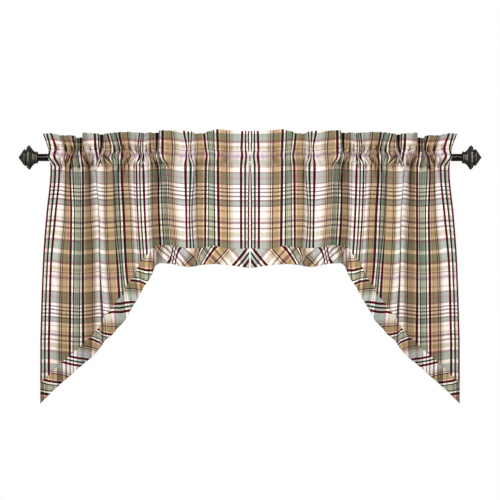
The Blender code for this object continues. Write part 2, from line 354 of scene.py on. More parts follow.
def smooth(knots: Array, values: Array, at: Array) -> Array:
    """Read a smooth curve through values at knots, which never overshoots.

    Args:
        knots: Places of the values, rising.
        values: A row for each knot, and one column or one for each reading.
        at: Places to read, or a single place.

    Returns:
        One value for each reading.
    """
    knots = np.asarray(knots, float)
    at = np.clip(np.atleast_1d(np.asarray(at, float)), knots[0], knots[-1])
    count = max(at.size, values.shape[1])
    at = np.broadcast_to(at, (count,))
    values = np.broadcast_to(values, (len(knots), count))
    secant = np.diff(values, axis=0) / np.diff(knots)[:, None]
    before, after = secant[:-1], secant[1:]
    same_way = before * after > 0
    total = np.where(same_way, before + after, 1.0)
    inner = np.where(same_way, 2 * before * after / total, 0.0)
    slope = np.vstack([secant[:1], inner, secant[-1:]])
    low = np.clip(np.searchsorted(knots, at, side="right") - 1, 0, len(knots) - 2)
    pick = np.arange(count)
    width = np.diff(knots)[low]
    t = (at - knots[low]) / width
    return (
        (1 + 2 * t) * (1 - t) ** 2 * values[low, pick]
        + t * (1 - t) ** 2 * width * slope[low, pick]
        + t * t * (3 - 2 * t) * values[low + 1, pick]
        + t * t * (t - 1) * width * slope[low + 1, pick]
    )


def bell(distance: Array, width: float) -> Array:
    """Bell curve of height 1 that falls off over a width."""
    return np.exp(-((distance / width) ** 2))


def unevenness(turn: Array, phase: float, drift: float, swell: float) -> tuple[Array, Array]:
    """Slow changes that keep a row of gathers from repeating exactly.

    Args:
        turn: Angle of the gathers at each place, a whole turn for each wavelength.
        phase: Angle at which the changes start.
        drift: Largest angle by which they move the gathers.
        swell: Half of the share by which they lower the gathers at most.

    Returns:
        The angle by which the gathers are moved at each place, and their share there
        of the full height.
    """
    moved = drift * np.sin(turn / DRIFT_LENGTH + phase)
    share = 1 - swell + swell * np.sin(turn / SWELL_LENGTH + SWELL_LEAD * phase)
    return moved, share


# ---------------------------------------------------------------------------
# Shape of the cloth
# ---------------------------------------------------------------------------

class Ripple(NamedTuple):
    """An uneven wave across the cloth."""

    height: float
    wavelength: float
    phase: float

    def at(self, cloth: Array) -> Array:
        """Read the wave, which swings to both sides of 0.

        Args:
            cloth: Places across the flat cloth.

        Returns:
            The wave's height at each place.
        """
        turn = 2 * math.pi * cloth / self.wavelength
        moved, share = unevenness(turn, self.phase, RIPPLE_DRIFT, RIPPLE_SWELL)
        return self.height * share * np.sin(turn + moved + self.phase)


class Pleats(NamedTuple):
    """Narrow valleys at an uneven pitch across the cloth.

    A valley has fallen off where the sine of its angle, 180 degrees a pitch, is width.
    """

    depth: float
    pitch: float
    phase: float
    width: float

    def at(self, cloth: Array) -> Array:
        """Read the valleys.

        Args:
            cloth: Places across the flat cloth.

        Returns:
            Their depth at each place, never negative.
        """
        turn = 2 * math.pi * cloth / self.pitch
        moved, share = unevenness(turn, self.phase, PLEAT_DRIFT, PLEAT_SWELL)
        return self.depth * share * bell(np.sin(turn / 2 + moved + self.phase), self.width)


class Pinch(NamedTuple):
    """Pleats that a seam pinches, deepest along it and within a spread of it.

    A share of them, the tail, fades over tail_length away from the pocket and runs
    on at the same depth on the pocket's side of the seam.
    """

    pleats: Pleats
    spread: float
    tail: float
    tail_length: float

    def at(self, cloth: Array, away: Array) -> Array:
        """Read the pleats.

        Args:
            cloth: Places across the flat cloth.
            away: Distances from the seam, negative on the pocket's side.

        Returns:
            Their depth at each place.
        """
        tail = self.tail * np.exp(-np.maximum(away, 0.0) / self.tail_length)
        return (bell(away, self.spread) + tail) * self.pleats.at(cloth)


class Wrinkle(NamedTuple):
    """A level wrinkle in the pocket, which shows where its ripple is above -reach."""

    level: float
    depth: float
    width: float
    ripple: Ripple
    reach: float

    def at(self, cloth: Array, height: Array) -> Array:
        """Depth of the wrinkle at places across the flat cloth and heights on it."""
        share = np.clip(self.ripple.at(cloth) + self.reach, 0, 1)
        return self.depth * share * bell(height - self.level, self.width)


class Sway(NamedTuple):
    """A wave down the cloth that a ripple across it shifts; length is for one radian."""

    length: float
    drift: Ripple

    def at(self, cloth: Array, height: Array) -> Array:
        """Read the wave, from -1 to 1, at places across the flat cloth and heights on it."""
        return np.sin(height / self.length + self.drift.at(cloth))


@dataclass(frozen=True)
class GatheredCloth:
    """Small gathers, wrinkles and creases of cloth that two seams gather on a rod.

    They are fullest on the outer side of the panel, calmer from calm_from towards the
    middle of the valance, and leave the side hems flat.  The seams press their own
    stitch line in, and the cloth that hangs below the pocket is slack.
    """

    flat_width: float = 928.0
    header_seam: float = 27.0
    pocket_seam: float = -32.0
    pocket_middle: float = -2.0
    calm_share: float = 0.42
    calm_from: float = 590.0
    calm_over: float = 18.0
    hem_flat: float = 6.0
    hem_over: float = 26.0
    header_pinch: Pinch = Pinch(Pleats(24.0, 23.0, 0.4, 0.5), 13.0, 0.4, 32.0)
    pocket_pinch: Pinch = Pinch(Pleats(13.0, 27.0, 2.1, 0.5), 12.0, 0.5, 70.0)
    pocket_reach: float = 29.0
    pocket_pleats: Pleats = Pleats(20.0, 31.0, 1.2, 0.42)
    pocket_lean: Ripple = Ripple(0.7, 150.0, 0.7)
    pocket_bulge: float = 12.0
    pocket_ripple: Ripple = Ripple(5.5, 31.0, 1.2)
    hanging_pleats: Pleats = Pleats(6.0, 67.0, 0.9, 0.34)
    hanging_length: float = 240.0
    wrinkles: tuple[Wrinkle, ...] = (
        Wrinkle(20.0, 1.6, 3.5, Ripple(1.0, 61.0, 0.2), 0.4),
        Wrinkle(-3.0, 1.6, 3.5, Ripple(1.0, 83.0, 2.7), 0.4),
    )
    seam_dent: float = 0.7
    seam_dent_width: float = 2.4
    slack_height: float = 1.1
    slack_over: float = 120.0
    slack_sway: Sway = Sway(41.0, Ripple(2.0, 190.0, 0.9))
    creases: tuple[Crease, ...] = CREASES
    header_push: Ripple = Ripple(1.9, 21.0, 0.9)
    header_push_width: float = 9.0
    pocket_push: Ripple = Ripple(3.2, 47.0, 2.2)
    pocket_push_reach: float = 30.0
    pocket_sway: Sway = Sway(8.0, Ripple(2.5, 96.0, 0.3))

    def gathering(self, cloth: Array) -> Array:
        """How tightly the cloth gathers.

        Args:
            cloth: Places across the flat cloth.

        Returns:
            A share for each place, 1 where it gathers most.
        """
        to_edge = np.minimum(cloth, self.flat_width - cloth)
        towards_middle = np.exp((cloth - self.calm_from) / self.calm_over)
        tight = self.calm_share + (1 - self.calm_share) / (1 + towards_middle)
        return tight * np.clip((to_edge - self.hem_flat) / self.hem_over, 0.0, 1.0)

    def in_pocket(self, height: Array, reach: float) -> Array:
        """1 at the middle of the pocket, falling to 0 at a reach above and below it."""
        return np.clip(1 - ((height - self.pocket_middle) / reach) ** 2, 0.0, 1.0)

    def relief(self, cloth: Array, height: Array) -> Array:
        """How far small gathers and creases stand out of the broad folds.

        Args:
            cloth: Places across the flat cloth.
            height: Heights of the same points.

        Returns:
            Distances towards the room.
        """
        above_header = height - self.header_seam
        below_pocket = self.pocket_seam - height
        hanging = np.maximum(below_pocket, 0.0)
        over_rod = self.in_pocket(height, self.pocket_reach)
        leaning = cloth + height * self.pocket_lean.at(cloth)
        bulge = over_rod * (self.pocket_bulge + self.pocket_ripple.at(cloth))
        valleys = (
            self.header_pinch.at(cloth, above_header)
            + self.pocket_pinch.at(cloth, below_pocket)
            + over_rod * self.pocket_pleats.at(leaning)
            + np.exp(-hanging / self.hanging_length) * self.hanging_pleats.at(cloth)
        )
        out = self.gathering(cloth) * (bulge - valleys)
        for away in (above_header, below_pocket):
            out -= self.seam_dent * bell(away, self.seam_dent_width)
        slack = np.clip(hanging / self.slack_over, 0.0, 1.0)
        out += self.slack_height * slack * self.slack_sway.at(cloth, height)
        for mark in self.wrinkles + self.creases:
            out -= mark.at(cloth, height)
        return out

    def jostle(self, cloth: Array, height: Array) -> Array:
        """How far the gathers that the seams pinch push each other sideways.

        Args:
            cloth: Places across the flat cloth.
            height: Heights of the same points.

        Returns:
            Distances away from the middle of the rod.
        """
        pinched = bell(height - self.header_seam, self.header_push_width)
        loose = self.in_pocket(height, self.pocket_push_reach)
        push = pinched * self.header_push.at(cloth)
        push += loose * self.pocket_sway.at(cloth, height) * self.pocket_push.at(cloth)
        return self.gathering(cloth) * push


@dataclass(frozen=True)
class Drape(GatheredCloth):
    """The shape in which one gathered panel hangs from the rod.

    The waves are shares of a fold's depth that are left at a seam or a hem.  Behind
    the rod the cloth hugs it, and spreads where the front of the pocket is tight.
    """

    folds: tuple[Fold, ...] = FOLDS
    edges: tuple[Edge, ...] = EDGES
    sags: tuple[Sag, ...] = SAGS
    header_top: float = 83.0
    rod_level: float = 5.0
    back_hem: float = -42.0
    high_level: float = -195.0
    low_level: float = -365.0
    hem_level: float = -620.0
    seam_wave: float = 0.45
    pocket_wave: float = 0.6
    pocket_shift: float = -8.0
    hem_wave: float = 0.85
    rod_hug: float = 14.2
    back_spread: float = 0.7
    layer_pitch: float = 2.4
    slope_step: float = 5.0
    weft_top: float = 89.0
    weft_pucker: Ripple = Ripple(4.2, 33.0, 0.4)
    pucker_level: float = 8.0
    pucker_width: float = 26.0

    def fold(self, name: str, cloth: Array) -> Array:
        """Read one column of the fold table at places across the flat cloth."""
        return smooth(column(self.folds, "cloth"), column(self.folds, name)[:, None], cloth)

    def edge(self, name: str, cloth: Array) -> Array:
        """Read a height of the lower edges at places across the flat cloth."""
        return between(self.edges, "cloth", name, cloth)

    def sideways(self, cloth: Array, height: Array) -> Array:
        """Where the broad folds hang along the rod.

        Args:
            cloth: Places across the flat cloth.
            height: Heights of the same points.

        Returns:
            Distances from the middle of the rod.
        """
        levels = (
            self.hem_level, self.low_level, self.high_level,
            self.pocket_seam, self.rod_level, self.header_seam, self.header_top,
        )
        names = ("hem_x", "low_x", "high_x", "pocket_x", "rod_x", "seam_x", "top_x")
        return smooth(levels, np.array([self.fold(name, cloth) for name in names]), height)

    def rod_reach(self, height: Array) -> Array:
        """Depth at which the cloth lies on the rod, and 0 above and below it."""
        return np.sqrt(np.maximum(self.rod_hug**2 - np.asarray(height, float) ** 2, 0.0))

    def front_depth(self, cloth: Array, height: Array) -> Array:
        """Depth of the layer on the room side of the rod and of what hangs below.

        Args:
            cloth: Places across the flat cloth.
            height: Heights of the same points.

        Returns:
            Depths of the broad folds, negative to the room side.
        """
        header = self.fold("header_y", cloth)
        hang = self.fold("hang_y", cloth)
        levels = (
            self.hem_level, self.high_level, self.pocket_seam,
            0.0, self.header_seam, self.header_top,
        )
        depths = np.array([
            self.hem_wave * hang,
            hang,
            self.pocket_wave * hang + self.pocket_shift,
            self.fold("pocket_y", cloth),
            self.seam_wave * header,
            header,
        ])
        return smooth(levels, depths, height)

    def back_depth(self, cloth: Array, height: Array) -> Array:
        """Depth of the layer behind the rod, slack where the front is tight.

        Args:
            cloth: Places across the flat cloth.
            height: Heights of the same points, between the two seams.

        Returns:
            Depths, never less than where the cloth lies on the rod.
        """
        header = self.seam_wave * self.fold("header_y", cloth)
        seam = self.pocket_wave * self.fold("hang_y", cloth) + self.pocket_shift
        tightness = self.fold("pocket_y", cloth) - column(self.folds, "pocket_y").min()
        behind = self.rod_hug + self.back_spread * tightness
        levels = (self.pocket_seam, 0.0, self.header_seam)
        depth = smooth(levels, np.array([seam, behind, header]), height)
        return np.maximum(depth, self.rod_reach(height))

    def backwards(self, cloth: Array, height: Array) -> tuple[Array, Array]:
        """Level direction that points out of the back of the cloth.

        Args:
            cloth: Places across the flat cloth.
            height: Heights of the same points.

        Returns:
            The direction's x and y, of length 1.
        """
        before, after = cloth - self.slope_step, cloth + self.slope_step
        run = self.sideways(after, height) - self.sideways(before, height)
        rise = self.front_depth(after, height) - self.front_depth(before, height)
        length = np.hypot(run, rise)
        return rise / length, -run / length

    def front(self, cloth: Array, height: Array, set_off: Array | float = 0.0) -> Array:
        """Points of the front layer.

        Args:
            cloth: Places across the flat cloth.
            height: Heights of the points.
            set_off: Distance that they are moved out of the back of the cloth.

        Returns:
            One point a row.
        """
        level = height * np.ones_like(cloth)
        normal_x, normal_y = self.backwards(cloth, level)
        x = self.sideways(cloth, level) + self.jostle(cloth, level) + set_off * normal_x
        y = self.front_depth(cloth, level) - self.relief(cloth, level) + set_off * normal_y
        reach = self.rod_reach(level)
        y = np.where(reach > 0, np.minimum(y, -reach), y)
        return np.stack([x, y, level], axis=1)

    def pocket_back(self, cloth: Array, height: float) -> Array:
        """Points of the layer behind the rod.

        Args:
            cloth: Places across the flat cloth.
            height: Height of the points, between the two seams.

        Returns:
            One point a row.
        """
        level = height * np.ones_like(cloth)
        return np.stack(
            [self.sideways(cloth, level), self.back_depth(cloth, level), level], axis=1
        )

    def weft(self, cloth: Array, height: Array) -> Array:
        """Where points of the front layer lie down the woven cloth.

        Args:
            cloth: Places across the flat cloth.
            height: Heights of the points.

        Returns:
            Distances down the cloth from the ruffle's top.
        """
        puckered = self.gathering(cloth) * bell(height - self.pucker_level, self.pucker_width)
        return (
            self.weft_top - height + self.fold("dip", cloth)
            + puckered * self.weft_pucker.at(cloth)
            + between(self.sags, "height", "down", height)
        )


def place_object(name: str, data: bpy.types.ID) -> bpy.types.Object:
    """Add an object to the scene.

    Args:
        name: The object's name.
        data: Its mesh, light or camera.

    Returns:
        The object, at the origin.
    """
    made = bpy.data.objects.new(name, data)
    bpy.context.scene.collection.objects.link(made)
    return made


def finished_mesh(
    name: str, shape: bmesh.types.BMesh, sharp_angle: float | None = None
) -> bpy.types.Mesh:
    """Turn a bmesh into a mesh and free it.

    Args:
        name: The mesh's name.
        shape: The bmesh.
        sharp_angle: Angle in degrees from which edges stay sharp.  Without one the
            mesh is left flat-shaded.

    Returns:
        The mesh.
    """
    mesh = bpy.data.meshes.new(name)
    shape.to_mesh(mesh)
    shape.free()
    if sharp_angle is not None:
        mesh.shade_smooth()
        mesh.set_sharp_from_angle(angle=math.radians(sharp_angle))
    return mesh


@dataclass
class ClothSheet:
    """A sheet of cloth as rows of points, each with its place on the woven cloth."""

    rows: list[Array] = field(default_factory=list)
    pattern: list[Array] = field(default_factory=list)
    thickness: list[Array] = field(default_factory=list)

    def add_row(self, points: Array, warp: Array, weft: Array, thickness: Array | float) -> None:
        """Add the next row of points down the sheet.

        Args:
            points: One point a row, in millimetres.
            warp: Their places across the woven cloth.
            weft: Their places down the woven cloth.
            thickness: The cloth's thickness at each of them, or at all.
        """
        self.rows.append(points)
        self.pattern.append(np.stack([warp, weft], axis=1))
        self.thickness.append(thickness * np.ones(len(points)))

    def build(self, name: str, side: Side) -> bpy.types.Object:
        """Bend a grid to the rows and thicken it.

        Args:
            name: Name of the object and of its mesh.
            side: Half of the valance that the sheet is for.

        Returns:
            The sheet's object, in metres.
        """
        points = np.array(self.rows)
        row_count, column_count = points.shape[:2]
        grid = bmesh.new()
        bmesh.ops.create_grid(
            grid, x_segments=column_count - 1, y_segments=row_count - 1, size=1.0
        )
        mesh = finished_mesh(name, grid)
        place = np.empty(len(mesh.vertices) * 3)
        mesh.vertices.foreach_get("co", place)
        place = (place.reshape(-1, 3) + 1) / 2
        across = np.rint(place[:, 0] * (column_count - 1)).astype(int)
        down = np.rint(place[:, 1] * (row_count - 1)).astype(int)
        placed = points[down, across] * METRE * (side.value, 1, 1)
        mesh.vertices.foreach_set("co", placed.ravel())
        corners = np.empty(len(mesh.loops), dtype=np.int32)
        mesh.loops.foreach_get("vertex_index", corners)
        chart = mesh.uv_layers.new(name=CLOTH_MAP)
        woven = np.array(self.pattern)[down, across] * METRE
        chart.data.foreach_set("uv", woven[corners].ravel())
        mesh.shade_smooth()
        made = place_object(name, mesh)
        self.thicken(made, np.array(self.thickness)[down, across])
        return made

    def thicken(self, made: bpy.types.Object, thickness: Array) -> None:
        """Give the sheet its thickness, which a vertex group varies.

        Args:
            made: The sheet's object.
            thickness: Thickness at each vertex.
        """
        group = made.vertex_groups.new(name="Thickness")
        most = float(thickness.max())
        for value in np.unique(thickness):
            group.add(np.flatnonzero(thickness == value).tolist(), float(value) / most, "REPLACE")
        solid = made.modifiers.new("Thickness", "SOLIDIFY")
        solid.thickness = most * METRE
        solid.offset = 0.0
        solid.vertex_group = group.name


def dress(
    made: bpy.types.Object, materials: Sequence[bpy.types.Material],
    node: str | None = None,
) -> None:
    """Give a piece its materials and its body, hide the CAD node that it stands for, and log its
    faces.

    Args:
        made: The piece.
        materials: Its materials in slot order.
        node: The CAD node that the piece stands for.
    """
    for material in materials:
        made.data.materials.append(material)
    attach(made, BODY)
    if node:
        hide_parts(node)
    LOG.info("%s: %d faces", made.name, len(made.data.polygons))


# ---------------------------------------------------------------------------
# Finishes
# ---------------------------------------------------------------------------

def linear(colour: str) -> tuple[float, ...]:
    """Turn an sRGB colour into a linear one.

    Args:
        colour: The colour as a # and six hex digits.

    Returns:
        Linear red, green and blue, and an alpha of 1.
    """
    channels = [int(colour[start:start + 2], 16) / 255 for start in (1, 3, 5)]
    return tuple(
        value / 12.92 if value <= 0.04045 else ((value + 0.055) / 1.055) ** 2.4
        for value in channels
    ) + (1.0,)


def connect(
    tree: bpy.types.NodeTree, node: bpy.types.Node, sockets: dict[str | int, NodeValue]
) -> None:
    """Set the inputs of a node.

    Args:
        tree: The node's tree.
        node: The node.
        sockets: A value, or an output to link, for each input by name or number.
    """
    for socket, value in sockets.items():
        if isinstance(value, bpy.types.NodeSocket):
            tree.links.new(value, node.inputs[socket])
        else:
            node.inputs[socket].default_value = value


def add_node(
    tree: bpy.types.NodeTree, kind: str, settings: dict[str, str] | None = None,
    sockets: dict[str | int, NodeValue] | None = None,
) -> bpy.types.Node:
    """Add a node with its settings, values and links.

    Args:
        tree: The tree that the node joins.
        kind: The node's type.
        settings: Its properties, by name.
        sockets: A value, or an output to link, for each input by name or number.

    Returns:
        The node.
    """
    node = tree.nodes.new(kind)
    for name, value in (settings or {}).items():
        setattr(node, name, value)
    connect(tree, node, sockets or {})
    return node


def lay_stripes(
    ramp: bpy.types.ColorRamp, stripes: Sequence[Stripe], start: float, whole: float
) -> None:
    """Lay stripes side by side on a ramp.

    Args:
        ramp: The ramp, which has its two first stops.
        stripes: The stripes in order.
        start: Where the first one begins, in millimetres.
        whole: The length that the ramp stands for, in millimetres.
    """
    ramp.interpolation = "CONSTANT"
    ramp.elements.remove(ramp.elements[1])
    edge = start
    for number, stripe in enumerate(stripes):
        stop = ramp.elements[0] if number == 0 else ramp.elements.new(edge / whole)
        stop.position = edge / whole
        stop.color = linear(stripe.yarn.value)
        edge += stripe.width


def new_material(name: str) -> tuple[bpy.types.Material, bpy.types.Node]:
    """Make a material.

    Args:
        name: The material's name.

    Returns:
        The material and its Principled shader.
    """
    material = bpy.data.materials.new(name)
    material.use_nodes = True
    return material, material.node_tree.nodes["Principled BSDF"]


@dataclass(frozen=True)
class PlaidHomespun:
    """Yarn-dyed plain-weave cotton.

    Slubby yarns and a loose weave make it matt, with a faint bloom at the edges of
    folds; where two colours cross they mix, so each stripe changes as it runs.
    """

    name: str = "Yarn-dyed plaid cotton homespun"
    warp: tuple[Stripe, ...] = WARP_STRIPES
    weft: tuple[Stripe, ...] = WEFT_STRIPES
    first_weft: int = 21
    paling: float = 1.28
    thread_pitch: float = 1.6
    slub_length: float = 70.0
    slub_width: float = 2.2
    slub_contrast: float = 0.10
    crumple_size: float = 26.0
    crumple_height: float = 0.9
    roughness: float = 0.92
    sheen: float = 0.04

    def build(self) -> bpy.types.Material:
        """Make the material.

        The thread pitch is about three times that of the real weave, which is too
        fine to show.

        Returns:
            The material.
        """
        material, shader = new_material(self.name)
        tree = material.node_tree
        woven = add_node(tree, "ShaderNodeUVMap", {"uv_map": CLOTH_MAP})
        place = add_node(tree, "ShaderNodeSeparateXYZ", None, {0: woven.outputs["UV"]})
        colour = self.plaid(tree, place)
        streaks = self.slubs(tree, woven)
        mixed = add_node(
            tree, "ShaderNodeMix", {"data_type": "RGBA", "blend_type": "MULTIPLY"},
            {"Factor": 1.0, "A": colour, "B": streaks},
        )
        connect(tree, shader, {
            "Base Color": mixed.outputs["Result"], "Normal": self.surface(tree, woven, place),
            "Roughness": self.roughness, "Sheen Weight": self.sheen, "Sheen Roughness": 0.5,
            "Specular IOR Level": 0.12,
        })
        return material

    def plaid(self, tree: bpy.types.NodeTree, place: bpy.types.Node) -> bpy.types.NodeSocket:
        """Cross the warp's stripes with the weft's tints.

        A ramp holds 32 stops at most, so the weft is laid on two.  The closing curve
        lifts the pale crossings, where two white yarns hide their shadows, and leaves
        the dark ones deep.

        Args:
            tree: The material's tree.
            place: The node that gives the place on the woven cloth as X and Y.

        Returns:
            The colour.
        """
        half_warp = sum(stripe.width for stripe in self.warp)
        warp_phase = add_node(
            tree, "ShaderNodeMath", {"operation": "PINGPONG"},
            {0: place.outputs["X"], 1: half_warp * METRE},
        )
        warp_share = add_node(
            tree, "ShaderNodeMath", {"operation": "DIVIDE"},
            {0: warp_phase.outputs[0], 1: half_warp * METRE},
        )
        warp = add_node(tree, "ShaderNodeValToRGB", None, {"Fac": warp_share.outputs[0]})
        lay_stripes(warp.color_ramp, self.warp, 0.0, half_warp)

        repeat = sum(stripe.width for stripe in self.weft)
        weft_turns = add_node(
            tree, "ShaderNodeMath", {"operation": "DIVIDE"},
            {0: place.outputs["Y"], 1: repeat * METRE},
        )
        weft_share = add_node(
            tree, "ShaderNodeMath", {"operation": "FRACT"}, {0: weft_turns.outputs[0]}
        )
        middle = sum(stripe.width for stripe in self.weft[:self.first_weft])
        upper = add_node(tree, "ShaderNodeValToRGB", None, {"Fac": weft_share.outputs[0]})
        lay_stripes(upper.color_ramp, self.weft[:self.first_weft], 0.0, repeat)
        lower = add_node(tree, "ShaderNodeValToRGB", None, {"Fac": weft_share.outputs[0]})
        lay_stripes(lower.color_ramp, self.weft[self.first_weft:], middle, repeat)
        is_lower = add_node(
            tree, "ShaderNodeMath", {"operation": "GREATER_THAN"},
            {0: weft_share.outputs[0], 1: middle / repeat},
        )
        weft = add_node(
            tree, "ShaderNodeMix", {"data_type": "RGBA"},
            {"Factor": is_lower.outputs[0], "A": upper.outputs[0], "B": lower.outputs[0]},
        )
        crossed = add_node(
            tree, "ShaderNodeMix", {"data_type": "RGBA", "blend_type": "MULTIPLY"},
            {"Factor": 1.0, "A": warp.outputs[0], "B": weft.outputs["Result"]},
        )
        blended = add_node(tree, "ShaderNodeRGBCurve", None, {"Color": crossed.outputs["Result"]})
        curve = blended.mapping.curves[-1]
        for share in (0.25, 0.5, 0.75):
            curve.points.new(share, 1 - (1 - share) ** self.paling)
        return blended.outputs["Color"]

    def slubs(self, tree: bpy.types.NodeTree, woven: bpy.types.Node) -> bpy.types.NodeSocket:
        """Vary the tone of single yarns along both directions of the weave.

        Args:
            tree: The material's tree.
            woven: The node that gives the place on the woven cloth.

        Returns:
            A factor for the colour, 1 where the yarns are clean.
        """
        across, along = 1 / (self.slub_width * METRE), 1 / (self.slub_length * METRE)
        tones = []
        for scale in ((across, along, 1.0), (along, across, 1.0)):
            stretched = add_node(
                tree, "ShaderNodeMapping", None, {"Vector": woven.outputs["UV"], "Scale": scale}
            )
            noise = add_node(
                tree, "ShaderNodeTexNoise", None,
                {"Vector": stretched.outputs[0], "Scale": 1.0, "Detail": 1.0},
            )
            tone = add_node(
                tree, "ShaderNodeMapRange", None,
                {"Value": noise.outputs["Fac"], "From Min": 0.3, "From Max": 0.7,
                 "To Min": 1 - self.slub_contrast, "To Max": 1.0},
            )
            tones.append(tone.outputs["Result"])
        both = add_node(
            tree, "ShaderNodeMath", {"operation": "MULTIPLY"}, {0: tones[0], 1: tones[1]}
        )
        return both.outputs[0]

    def surface(
        self, tree: bpy.types.NodeTree, woven: bpy.types.Node, place: bpy.types.Node
    ) -> bpy.types.NodeSocket:
        """Raise the threads over and under each other, and crumple the cloth a little.

        Args:
            tree: The material's tree.
            woven: The node that gives the place on the woven cloth.
            place: The node that gives the same place as X and Y.

        Returns:
            The surface's normal.
        """
        waves = []
        for axis in ("X", "Y"):
            angle = add_node(
                tree, "ShaderNodeMath", {"operation": "MULTIPLY"},
                {0: place.outputs[axis], 1: math.pi / (self.thread_pitch * METRE)},
            )
            wave = add_node(
                tree, "ShaderNodeMath", {"operation": "SINE"}, {0: angle.outputs[0]}
            )
            waves.append(wave.outputs[0])
        weave = add_node(
            tree, "ShaderNodeMath", {"operation": "MULTIPLY"}, {0: waves[0], 1: waves[1]}
        )
        crumple = add_node(
            tree, "ShaderNodeTexNoise", None,
            {"Vector": woven.outputs["UV"], "Scale": 1 / (self.crumple_size * METRE),
             "Detail": 3.0, "Roughness": 0.45},
        )
        creased = add_node(
            tree, "ShaderNodeBump", None,
            {"Strength": 0.6, "Distance": self.crumple_height * METRE,
             "Height": crumple.outputs["Fac"]},
        )
        threads = add_node(
            tree, "ShaderNodeBump", None,
            {"Strength": 0.25, "Distance": self.thread_pitch / 4 * METRE,
             "Height": weave.outputs[0], "Normal": creased.outputs[0]},
        )
        return threads.outputs[0]


@dataclass(frozen=True)
class SewingThread:
    """Spun polyester sewing thread: taupe, with a slight shine on each stitch.

    A wave texture turns by wave_turn radians over one unit of its scale.
    """

    name: str = "Spun polyester sewing thread"
    colour: str = "#B9AB93"
    # painted shade: the darker colour of the twist's bands, where the plies dip
    shaded: str = "#9C8E77"
    ply: float = 0.5
    wave_turn: float = 20.0

    def build(self) -> bpy.types.Material:
        """Make the material, with painted shade in fine diagonal bands where the twisted plies
        dip.

        Returns:
            The material.
        """
        material, shader = new_material(self.name)
        tree = material.node_tree
        place = add_node(tree, "ShaderNodeTexCoord")
        twist = add_node(
            tree, "ShaderNodeTexWave", {"bands_direction": "DIAGONAL"},
            {"Vector": place.outputs["Object"], "Scale": 1 / (self.wave_turn * self.ply * METRE)},
        )
        tone = add_node(
            tree, "ShaderNodeMix", {"data_type": "RGBA"},
            {"Factor": twist.outputs["Fac"], "A": linear(self.shaded), "B": linear(self.colour)},
        )
        connect(tree, shader, {"Base Color": tone.outputs["Result"], "Roughness": 0.55})
        return material


@dataclass(frozen=True)
class BakedEnamelTube:
    """Steel tube with a baked dark bronze enamel: near black, satin, faintly brown."""

    name: str = "Dark bronze enamelled steel tube"
    colour: str = "#070505"
    fleck: str = "#140E0C"
    fleck_size: float = 1.8
    peel_size: float = 3.0
    peel_depth: float = 0.1

    def build(self) -> bpy.types.Material:
        """Make the material, with fine flecks and the enamel's slight orange peel.

        Returns:
            The material.
        """
        material, shader = new_material(self.name)
        tree = material.node_tree
        place = add_node(tree, "ShaderNodeTexCoord")
        flecks = add_node(
            tree, "ShaderNodeTexNoise", None,
            {"Vector": place.outputs["Object"], "Scale": 1 / (self.fleck_size * METRE),
             "Detail": 2.0},
        )
        tone = add_node(
            tree, "ShaderNodeMix", {"data_type": "RGBA"},
            {"Factor": flecks.outputs["Fac"], "A": linear(self.colour), "B": linear(self.fleck)},
        )
        peel = add_node(
            tree, "ShaderNodeTexNoise", None,
            {"Vector": place.outputs["Object"], "Scale": 1 / (self.peel_size * METRE)},
        )
        bump = add_node(
            tree, "ShaderNodeBump", None,
            {"Strength": 0.15, "Distance": self.peel_depth * METRE,
             "Height": peel.outputs["Fac"]},
        )
        connect(tree, shader, {
            "Base Color": tone.outputs["Result"], "Normal": bump.outputs[0],
            "Roughness": 0.26, "Specular IOR Level": 0.22,
        })
        return material


@dataclass(frozen=True)
class AntiquePewter:
    """Die-cast zinc with an antique pewter plating, darkened in the hollows."""

    name: str
    bright: str
    dark: str
    roughness: float
    patch_size: float = 9.0
    grain_size: float = 0.9
    grain_depth: float = 0.08

    def build(self) -> bpy.types.Material:
        """Make the material, mottled by its darkening wash and lightly grained.

        Returns:
            The material.
        """
        material, shader = new_material(self.name)
        tree = material.node_tree
        place = add_node(tree, "ShaderNodeTexCoord")
        patches = add_node(
            tree, "ShaderNodeTexNoise", None,
            {"Vector": place.outputs["Object"], "Scale": 1 / (self.patch_size * METRE),
             "Detail": 4.0, "Roughness": 0.6},
        )
        wash = add_node(
            tree, "ShaderNodeMapRange", None,
            {"Value": patches.outputs["Fac"], "From Min": 0.35, "From Max": 0.65},
        )
        tone = add_node(
            tree, "ShaderNodeMix", {"data_type": "RGBA"},
            {"Factor": wash.outputs["Result"], "A": linear(self.dark), "B": linear(self.bright)},
        )
        grain = add_node(
            tree, "ShaderNodeTexNoise", None,
            {"Vector": place.outputs["Object"], "Scale": 1 / (self.grain_size * METRE)},
        )
        bump = add_node(
            tree, "ShaderNodeBump", None,
            {"Strength": 0.3, "Distance": self.grain_depth * METRE,
             "Height": grain.outputs["Fac"]},
        )
        connect(tree, shader, {
            "Base Color": tone.outputs["Result"], "Normal": bump.outputs[0],
            "Metallic": 0.75, "Roughness": self.roughness,
        })
        return material


@dataclass(frozen=True)
class PalePaper:
    """Seamless studio paper: an even, matt off-white."""

    name: str = "Seamless studio paper"
    colour: str = "#E9E7E3"
    paler: str = "#EFEDEA"
    mottle_size: float = 166.667

    def build(self) -> bpy.types.Material:
        """Make the material, with the paper's faint mottle.

        Returns:
            The material.
        """
        material, shader = new_material(self.name)
        tree = material.node_tree
        place = add_node(tree, "ShaderNodeTexCoord")
        mottle = add_node(
            tree, "ShaderNodeTexNoise", None,
            {"Vector": place.outputs["Object"], "Scale": 1 / (self.mottle_size * METRE)},
        )
        tone = add_node(
            tree, "ShaderNodeMix", {"data_type": "RGBA"},
            {"Factor": mottle.outputs["Fac"], "A": linear(self.colour), "B": linear(self.paler)},
        )
        connect(tree, shader, {"Base Color": tone.outputs["Result"], "Roughness": 0.95})
        return material


# ---------------------------------------------------------------------------
# Sewn pieces
# ---------------------------------------------------------------------------

